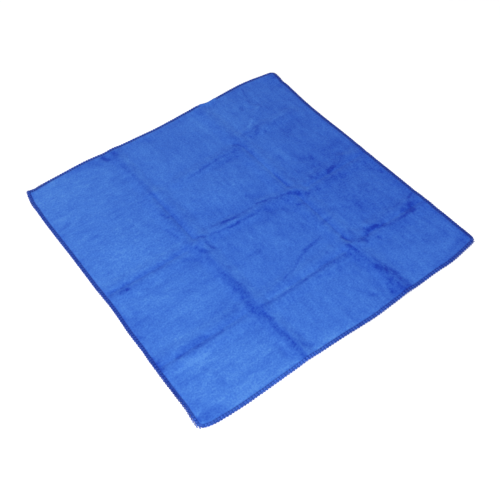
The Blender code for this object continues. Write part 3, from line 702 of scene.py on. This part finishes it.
class Nodes:
    """Adds nodes to a tree."""

    def __init__(self, tree):
        self.tree = tree

    def fill(self, node, inputs):
        """Fills a node's inputs, by name or number. Outputs are linked, a list of them one after
        another, and other values are set.
        """
        for name, value in inputs.items():
            for part in value if isinstance(value, list) else [value]:
                if isinstance(part, bpy.types.NodeSocket):
                    self.tree.links.new(part, node.inputs[name])
                else:
                    node.inputs[name].default_value = part
        return node

    def add(self, kind, inputs=None, **settings):
        """A node of one kind, with its settings and inputs."""
        node = self.tree.nodes.new(kind)
        for name, value in settings.items():
            setattr(node, name, value)
        return self.fill(node, inputs or {})

    def math(self, operation, *values):
        """The result of one operation on two or three values."""
        return self.add("ShaderNodeMath", dict(enumerate(values)), operation=operation).outputs[0]

    def mix(self, data_type, factor, first, second):
        """A blend of two numbers or colours."""
        inputs = {"Factor": factor, "A": first, "B": second}
        return self.add("ShaderNodeMix", inputs, data_type=data_type).outputs["Result"]

    def step(self, value, start, end, low=0.0, high=1.0):
        """A smooth step from low to high while the value goes from start to end."""
        inputs = {"Value": value, "From Min": start, "From Max": end, "To Min": low, "To Max": high}
        return self.add("ShaderNodeMapRange", inputs, interpolation_type="SMOOTHSTEP").outputs["Result"]


def new_material(name):
    """A material with what adds nodes to it and its shader."""
    material = bpy.data.materials.new(name)
    material.use_nodes = True
    return material, Nodes(material.node_tree), material.node_tree.nodes["Principled BSDF"]


# Colours of the plush from pressed flat and dark to brushed up and light, along which the painted light
# and shade of the strokes also move
PLUSH_COLOURS = (
    (0.0035, 0.026, 0.305), (0.0072, 0.045, 0.362), (0.0182, 0.079, 0.419), (0.0300, 0.112, 0.471),
    (0.0434, 0.149, 0.522), (0.0700, 0.205, 0.568),
)
# Unevenness of its tone: scales across and along the ribs of the knit, detail, roughness and strength.
# The ribs run from left to right in the left third, up to its fold, and from near to far in the rest.
Tone = namedtuple("Tone", "across along detail roughness strength")
PLUSH_TONES = (
    Tone(34, 34, 3, 0.55, 0.256),
    Tone(170, 22, 2, 0.50, 0.272),
    Tone(190, 100, 3, 0.60, 0.400),
    Tone(480, 480, 3, 0.65, 0.920),
)
RIBS_TURN = -0.074, -0.060
# Tone of plain pile, on the way from the darkest to the lightest colour, and how far a whole depth of
# stroke brings it down.
PLAIN_TONE, STROKED_TONE = 0.616, 0.336


def plush_material():
    """Blue microfibre plush: mottled, brushed lighter and darker, with painted light and shade and a fine
    fibrous pile.
    """
    material, nodes, shader = new_material("blue plush microfibre")
    place = nodes.add("ShaderNodeTexCoord").outputs["Object"]
    dark = nodes.add("ShaderNodeAttribute", attribute_name="dark").outputs["Fac"]
    painted_shade_under_thread = nodes.add("ShaderNodeAttribute", attribute_name="painted_shade_under_thread").outputs["Fac"]

    def noise(scale, detail, roughness, stretch=(1, 1, 1)):
        stretched = nodes.add("ShaderNodeMapping", {"Vector": place, "Scale": stretch}).outputs["Vector"]
        inputs = {"Vector": stretched, "Scale": scale, "Detail": detail, "Roughness": roughness}
        return nodes.add("ShaderNodeTexNoise", inputs).outputs["Fac"]

    left_to_right = nodes.add("ShaderNodeSeparateXYZ", {"Vector": place}).outputs["X"]
    turned = nodes.step(left_to_right, *RIBS_TURN)

    def ribbed(row):
        """Noise that follows the ribs, across the left third and along the rest."""
        if row.across == row.along:
            return noise(row.across, row.detail, row.roughness)
        return nodes.mix("FLOAT", turned,
                         noise(1, row.detail, row.roughness, (row.along, row.across, row.across)),
                         noise(1, row.detail, row.roughness, (row.across, row.along, row.across)))

    tone = nodes.math("MULTIPLY_ADD", dark, -STROKED_TONE, PLAIN_TONE)
    for row in PLUSH_TONES:
        shift = nodes.math("MULTIPLY_ADD", ribbed(row), row.strength, -row.strength / 2)
        tone = nodes.math("ADD", tone, shift)
    shade = nodes.add("ShaderNodeValToRGB", {"Fac": tone})
    ramp = shade.color_ramp.elements
    ramp[0].color, ramp[1].color = (*PLUSH_COLOURS[0], 1), (*PLUSH_COLOURS[-1], 1)
    for step, colour in enumerate(PLUSH_COLOURS[1:-1], 1):
        ramp.new(step / (len(PLUSH_COLOURS) - 1)).color = (*colour, 1)
    # the plush under the thread is painted nearly the thread's darkest blue, as shade between the stitches
    coloured = nodes.mix("RGBA", painted_shade_under_thread, shade.outputs["Color"], (0.003, 0.018, 0.230, 1))

    fibres = nodes.math("ADD", noise(900, 3, 0.65), noise(2600, 2, 0.6))
    bump = nodes.add("ShaderNodeBump", {"Strength": 0.55, "Distance": 0.0004, "Height": fibres})
    nodes.fill(shader, {"Base Color": coloured, "Normal": bump.outputs["Normal"], "Roughness": 0.92,
                        "Specular IOR Level": 0.12, "Sheen Weight": 0.14, "Sheen Roughness": 0.5,
                        "Sheen Tint": (0.45, 0.65, 1.0, 1)})
    return material


def thread_material():
    """Dark blue overlock thread, twisted, a little shinier than the cloth, with painted shade."""
    material, nodes, shader = new_material("dark blue overlock thread")
    shade = nodes.add("ShaderNodeAttribute", attribute_name="stitch_shade").outputs["Fac"]
    yarn = nodes.add("ShaderNodeUVMap", uv_map="yarn").outputs["UV"]
    stretched = nodes.add("ShaderNodeMapping", {"Vector": yarn, "Scale": (3.0, 1.0, 1.0)})
    waves = {"Vector": stretched.outputs["Vector"], "Scale": 3.2, "Distortion": 1.2, "Detail": 1.0}
    twist = nodes.add("ShaderNodeTexWave", waves, wave_type="BANDS",
                      bands_direction="DIAGONAL").outputs["Fac"]

    # painted shade: the thread is painted darkest where it dives into the needle holes, and darker where
    # it turns over the rim
    along = nodes.add("ShaderNodeSeparateXYZ", {"Vector": yarn}).outputs["X"]
    from_end = nodes.math("PINGPONG", along, 0.5)
    clear_of_hole_shade = nodes.step(from_end, 0.0, 0.06)
    painted_rim_shade = nodes.step(from_end, 0.20, 0.42, 1.0, 0.55)
    lit = nodes.math("MULTIPLY", nodes.math("MULTIPLY", shade, clear_of_hole_shade), painted_rim_shade)
    # the colour follows the twist's bands, painted darker in their grooves as shade
    twisted = nodes.math("MULTIPLY_ADD", twist, 0.45, 0.55)
    colour = nodes.mix("RGBA", nodes.math("MULTIPLY", lit, twisted),
                       (0.003, 0.020, 0.250, 1), (0.060, 0.180, 0.760, 1))

    bump = nodes.add("ShaderNodeBump", {"Strength": 0.6, "Distance": 0.0002, "Height": twist})
    nodes.fill(shader, {"Base Color": colour, "Normal": bump.outputs["Normal"], "Roughness": 0.62,
                        "Specular IOR Level": 0.20, "Sheen Weight": 0.08,
                        "Sheen Tint": (0.5, 0.6, 1.0, 1)})
    return material


# The overlock

def stitch_guide():
    """Points round the rim, one for each stitch, that say which way is along the seam and inwards."""
    x, y = rim_points(4000).T
    laid_x, laid_y = laid(x, y)
    steps = np.hypot(np.roll(laid_x, -1) - laid_x, np.roll(laid_y, -1) - laid_y)
    crowding = np.ones_like(x)
    for corner in CORNERS:
        away = np.hypot(x - corner.x_side * WIDTH / 2, y - corner.y_side * LENGTH / 2)
        crowding += corner.crowding * fade(away / CROWDED_REACH)
    passed = np.concatenate([[0], np.cumsum(steps * crowding)])
    count = round(passed[-1] / STITCH_LENGTH)
    at = (np.arange(count) + 0.5) / count * passed[-1]
    index = np.interp(at, passed, np.arange(len(passed)))

    def round_rim(values):
        return np.interp(index, np.arange(len(values) + 1), np.append(values, values[0]))

    flat_inner = np.stack([np.clip(x, -WIDTH / 2 + SEAM_INSET, WIDTH / 2 - SEAM_INSET),
                           np.clip(y, -LENGTH / 2 + SEAM_INSET, LENGTH / 2 - SEAM_INSET)])
    outer = np.stack([laid_x, laid_y, lift(x, y)], -1)
    inner = np.stack([*laid(*flat_inner), lift(*flat_inner)], -1)
    reach = 12             # rim points either way, over which the direction is taken
    along = np.roll(outer, -reach, 0) - np.roll(outer, reach, 0)
    along, inward, places, holes = (np.stack([round_rim(column) for column in values.T], -1)
                                    for values in (along, inner - outer, outer, inner))

    def stretch(points):
        """Distance from each stitch to the next, as a share of a plain stitch."""
        gaps = np.linalg.norm(np.roll(points, -1, 0) - np.roll(points, 1, 0), axis=1) / 2
        return gaps / STITCH_LENGTH

    mesh = bpy.data.meshes.new("stitch_guide")
    mesh.from_pydata(places.tolist(), [], [])
    for name, vectors in (("along", along), ("inward", inward)):
        unit = vectors / np.linalg.norm(vectors, axis=1)[:, None]
        mesh.attributes.new(name, "FLOAT_VECTOR", "POINT").data.foreach_set("vector", unit.ravel())
    # light: the edging's painted light and shade at each stitch
    for name, values in (("rim_stretch", stretch(places)), ("seam_stretch", stretch(holes)),
                         ("light", round_rim(painted_edging_light(x, y)))):
        mesh.attributes.new(name, "FLOAT", "POINT").data.foreach_set("value", values)
    return add_object("stitch_guide", mesh)


def overlock_tree():
    """Geometry nodes that sew one overlock stitch on every guide point.

    Two loops of thread spread from the needle hole over the rim and meet again underneath. A link joins
    them to the next loops along the rim, and a straight needle stitch lies between the holes.
    """
    tree = bpy.data.node_groups.new("overlock stitches", "GeometryNodeTree")
    nodes = Nodes(tree)
    kinds = {"Guide": "Geometry", **dict.fromkeys(THREAD_SIZES, "Float"), "Seed": "Int",
             "Material": "Material"}
    for name, kind in kinds.items():
        tree.interface.new_socket(name, in_out="INPUT", socket_type="NodeSocket" + kind)
    tree.interface.new_socket("Thread", in_out="OUTPUT", socket_type="NodeSocketGeometry")
    given = nodes.add("NodeGroupInput").outputs

    def vector(x, y, z):
        return nodes.add("ShaderNodeCombineXYZ", {0: x, 1: y, 2: z}).outputs[0]

    def keep(geometry, name, value, data_type="FLOAT", domain="POINT"):
        """Keeps a value on the geometry under a name."""
        inputs = {"Geometry": geometry, "Name": name, "Value": value}
        return nodes.add("GeometryNodeStoreNamedAttribute", inputs, data_type=data_type,
                         domain=domain).outputs["Geometry"]

    def place_on_curve():
        return nodes.add("GeometryNodeSplineParameter").outputs["Factor"]

    def thread(bit, points, resolution, width, thickness, sides, drawn_in=True):
        """A closed thread along one Bezier arc, given its start, two handles and end.

        It may be drawn in narrow at both ends, where it dives into a hole.
        """
        arc = nodes.add("GeometryNodeCurvePrimitiveBezierSegment", {
            "Resolution": resolution, "Start": points[0], "Start Handle": points[1],
            "End Handle": points[2], "End": points[3]}, mode="POSITION")
        section = nodes.add("GeometryNodeCurvePrimitiveCircle", {"Resolution": sides, "Radius": 0.5},
                            mode="RADIUS")
        flat = nodes.add("GeometryNodeTransform", {
            "Geometry": keep(section.outputs["Curve"], "around", place_on_curve()),
            "Scale": vector(width, thickness, 1.0)})
        upright = nodes.add("GeometryNodeSetCurveNormal", {
            "Curve": keep(arc.outputs["Curve"], "along_thread", place_on_curve()),
            "Normal": (1, 0, 0)}, mode="FREE")
        tube = nodes.add("GeometryNodeCurveToMesh", {
            "Curve": upright.outputs["Curve"], "Profile Curve": flat.outputs["Geometry"],
            "Fill Caps": True})
        if drawn_in:
            from_end = nodes.math("PINGPONG", place_on_curve(), 0.5)
            nodes.fill(tube, {"Scale": nodes.step(from_end, 0.0, 0.12, 0.55, 1.0)})
        return keep(tube.outputs["Mesh"], "bit", bit, "INT", "FACE")

    def named(name, data_type="FLOAT"):
        node = nodes.add("GeometryNodeInputNamedAttribute", {"Name": name}, data_type=data_type)
        return node.outputs["Attribute"]

    def chance(kind, low, high, offset):
        """A random value between low and high for each stitch."""
        node = nodes.add("FunctionNodeRandomValue", {"Seed": nodes.math("ADD", given["Seed"], offset)},
                         data_type=kind)
        ends = [socket for socket in node.inputs if socket.enabled and socket.name in ("Min", "Max")]
        ends[0].default_value, ends[1].default_value = low, high
        return next(socket for socket in node.outputs if socket.enabled)

    def join(*parts):
        return nodes.add("GeometryNodeJoinGeometry", {"Geometry": list(parts)}).outputs["Geometry"]

    def sewn(stitch, stretch, low, high, tilt, offset, shades):
        """The stitch on every guide point, each a little different."""
        turn = nodes.add("FunctionNodeAxesToRotation", {
            "Primary Axis": named("inward", "FLOAT_VECTOR"),
            "Secondary Axis": named("along", "FLOAT_VECTOR")}, primary_axis="Y", secondary_axis="X")
        size = nodes.add("ShaderNodeVectorMath", {
            0: chance("FLOAT_VECTOR", low, high, offset), 1: vector(named(stretch), 1.0, 1.0)},
            operation="MULTIPLY")
        copies = nodes.add("GeometryNodeInstanceOnPoints", {
            "Points": given["Guide"], "Instance": stitch, "Rotation": turn.outputs["Rotation"],
            "Scale": size.outputs["Vector"]})
        most = Vector((tilt / 3, tilt / 4, tilt))
        askew = nodes.add("GeometryNodeRotateInstances", {
            "Instances": copies.outputs["Instances"],
            "Rotation": chance("FLOAT_VECTOR", -most, most, offset + 1)})
        # each stitch's random tone times the edging's painted light and shade
        shade = nodes.math("MULTIPLY", chance("FLOAT", *shades, offset + 2), named("light"))
        shaded = keep(askew.outputs["Instances"], "stitch_shade", shade, domain="INSTANCE")
        number = nodes.add("GeometryNodeInputIndex").outputs["Index"]
        return keep(shaded, "stitch_number", number, "INT", "INSTANCE")

    def arc_points(*places):
        """Places in one stitch: a share of its length along, then metres inwards and up."""
        return [vector(nodes.math("MULTIPLY", given["Stitch Length"], share), inwards, up)
                for share, inwards, up in places]

    inset = given["Seam Inset"]

    def loop(bit, side):
        """Half of the stitch, from the hole over the rim and back underneath."""
        points = arc_points((0.06 * side, inset, 0.00155), (0.31 * side, -0.00110, 0.00335),
                            (0.31 * side, -0.00110, -0.00015), (0.06 * side, inset, 0.00075))
        return thread(bit, points, 11, given["Loop Width"], given["Loop Thickness"], 6)

    across_rim = arc_points((0.12, 0.00050, 0.00158), (0.36, -0.00022, 0.00150),
                            (0.64, -0.00022, 0.00093), (0.88, 0.00050, 0.00085))
    link = thread(2, across_rim, 7, given["Link Thread"], given["Link Thread"], 5, drawn_in=False)
    along_seam = arc_points((0.05, inset, 0.00125), (0.25, inset, 0.00235),
                            (0.75, inset, 0.00235), (0.95, inset, 0.00125))
    needle = thread(3, along_seam, 7, given["Needle Thread"], given["Needle Thread"], 5)
    sewing = join(
        sewn(join(loop(0, -1), loop(1, 1), link), "rim_stretch",
             (0.96, 0.97, 0.97), (1.04, 1.02, 1.02), 0.06, 0, (0.8, 1.4)),
        # the needle stitch's tone is painted low, as shade along the seam's line
        sewn(needle, "seam_stretch",
             (0.98, 1.00, 0.97), (1.02, 1.00, 1.04), 0.03, 3, (0.1, 0.5)))
    realized = nodes.add("GeometryNodeRealizeInstances", {"Geometry": sewing}).outputs["Geometry"]
    finish = nodes.add("GeometryNodeSetMaterial", {"Geometry": realized, "Material": given["Material"]})
    nodes.add("NodeGroupOutput", {"Thread": finish.outputs["Geometry"]})
    return tree


def overlock_piece():
    """The overlock thread round the whole edge, as one mesh."""
    guide = stitch_guide()
    tree = overlock_tree()
    sewing = guide.modifiers.new("overlock", "NODES")
    sewing.node_group = tree
    values = {**THREAD_SIZES, "Seed": THREAD_SEED, "Material": thread_material()}
    for item in tree.interface.items_tree:
        if item.name in values:
            sewing[item.identifier] = values[item.name]
    guide.update_tag()
    bpy.context.view_layer.update()
    graph = bpy.context.evaluated_depsgraph_get()
    mesh = bpy.data.meshes.new_from_object(guide.evaluated_get(graph))
    bpy.data.objects.remove(guide)
    mesh.name = "overlock_thread"
    mesh.shade_smooth()
    map_thread(mesh)
    return add_object("overlock_thread", mesh)


BITS_A_STITCH = 4      # two loops, a link and a needle stitch


def map_thread(mesh):
    """Two maps for the thread: one along and round it for its twist, and one with its own field for
    every bit of thread for the bake."""
    def read(name, count, kind):
        values = np.zeros(count, kind)
        mesh.attributes[name].data.foreach_get("value", values)
        return values

    corners = np.zeros(len(mesh.loops), int)
    starts, totals = np.zeros(len(mesh.polygons), int), np.zeros(len(mesh.polygons), int)
    mesh.loops.foreach_get("vertex_index", corners)
    mesh.polygons.foreach_get("loop_start", starts)
    mesh.polygons.foreach_get("loop_total", totals)
    face = np.repeat(np.arange(len(starts)), totals)
    along = read("along_thread", len(mesh.vertices), np.float32)[corners]
    around = read("around", len(mesh.vertices), np.float32)[corners]
    cap = totals[face] != 4
    highest = np.maximum.reduceat(around, starts)[face]
    around = np.where((highest > 0.7) & (around < 0.05) & ~cap, 1.0, around)

    # the bit's field has its sides on the left and its end caps as two small discs on the right
    number = read("stitch_number", len(mesh.vertices), np.int32)[corners]
    bit = number * BITS_A_STITCH + read("bit", len(mesh.polygons), np.int32)[face]
    across = math.ceil(math.sqrt(bit.max() + 1))
    disc = np.stack([0.93 + 0.05 * np.cos(math.tau * around),
                     0.25 + 0.5 * np.round(along) + 0.05 * np.sin(math.tau * around)], -1)
    sides = np.stack([0.05 + 0.80 * along, 0.05 + 0.90 * around], -1)
    field = np.where(cap[:, None], disc, sides)
    bake = (np.stack([bit % across, bit // across], -1) + field) / across
    yarn = np.stack([along, around], -1)
    for name, places in (("OFBake", bake), ("yarn", yarn)):
        mesh.uv_layers.new(name=name).data.foreach_set("uv", places.ravel().astype(np.float32))


# Studio

def camera():
    """The camera where the photograph was taken from."""
    sight = Vector((math.sin(HEADING) * math.cos(ELEVATION), math.cos(HEADING) * math.cos(ELEVATION),
                    -math.sin(ELEVATION)))
    data = bpy.data.cameras.new("camera")
    data.sensor_width = SENSOR_WIDTH
    data.lens = FOCAL_PIXELS / PHOTO_SIZE * SENSOR_WIDTH
    data.clip_start, data.clip_end = 0.01, 20.0
    view = add_object("camera", data)
    level = sight.to_track_quat("-Z", "Y").to_matrix()
    view.matrix_world = (Matrix.Translation(AIM - sight * AIM_DISTANCE)
                         @ (level @ Matrix.Rotation(ROLL, 3, "Z")).to_4x4())
    bpy.context.scene.camera = view


def pale_floor():
    """A plain pale floor, wide enough to fill every view."""
    mesh = bpy.data.meshes.new("floor")
    half, level = 6.0, -0.0001
    mesh.from_pydata([(-half, -half, level), (half, -half, level), (half, half, level),
                      (-half, half, level)], [], [(0, 1, 2, 3)])
    material, nodes, shader = new_material("pale floor")
    nodes.fill(shader, {"Base Color": (0.96, 0.96, 0.96, 1), "Roughness": 0.9, "Specular IOR Level": 0.0})
    mesh.materials.append(material)
    floor = add_object("floor", mesh)


def soft_light():
    """Even light from all round, and one large soft lamp above the near left of the cloth."""
    world = bpy.data.worlds.new("studio")
    bpy.context.scene.world = world
    world.use_nodes = True
    sky = Nodes(world.node_tree)
    sky.fill(world.node_tree.nodes["Background"], {"Color": (1, 1, 1, 1), "Strength": 0.70})
    lamp = bpy.data.lights.new("soft lamp", "AREA")
    lamp.shape = "RECTANGLE"
    lamp.size, lamp.size_y = 1.2, 0.9
    lamp.energy = 22.0
    place = Vector((-0.70, -0.60, 1.25))
    facing = (-place).to_track_quat("-Z", "Y").to_matrix().to_4x4()
    add_object("soft lamp", lamp).matrix_world = Matrix.Translation(place) @ facing
    bpy.context.scene.view_settings.view_transform = "Standard"


camera()
pale_floor()
soft_light()
cloth = cloth_piece()
thread = overlock_piece()
for piece, slot in ((cloth, "cloth"), (thread, "edging_thread")):
    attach(piece, "root")
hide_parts("cloth")
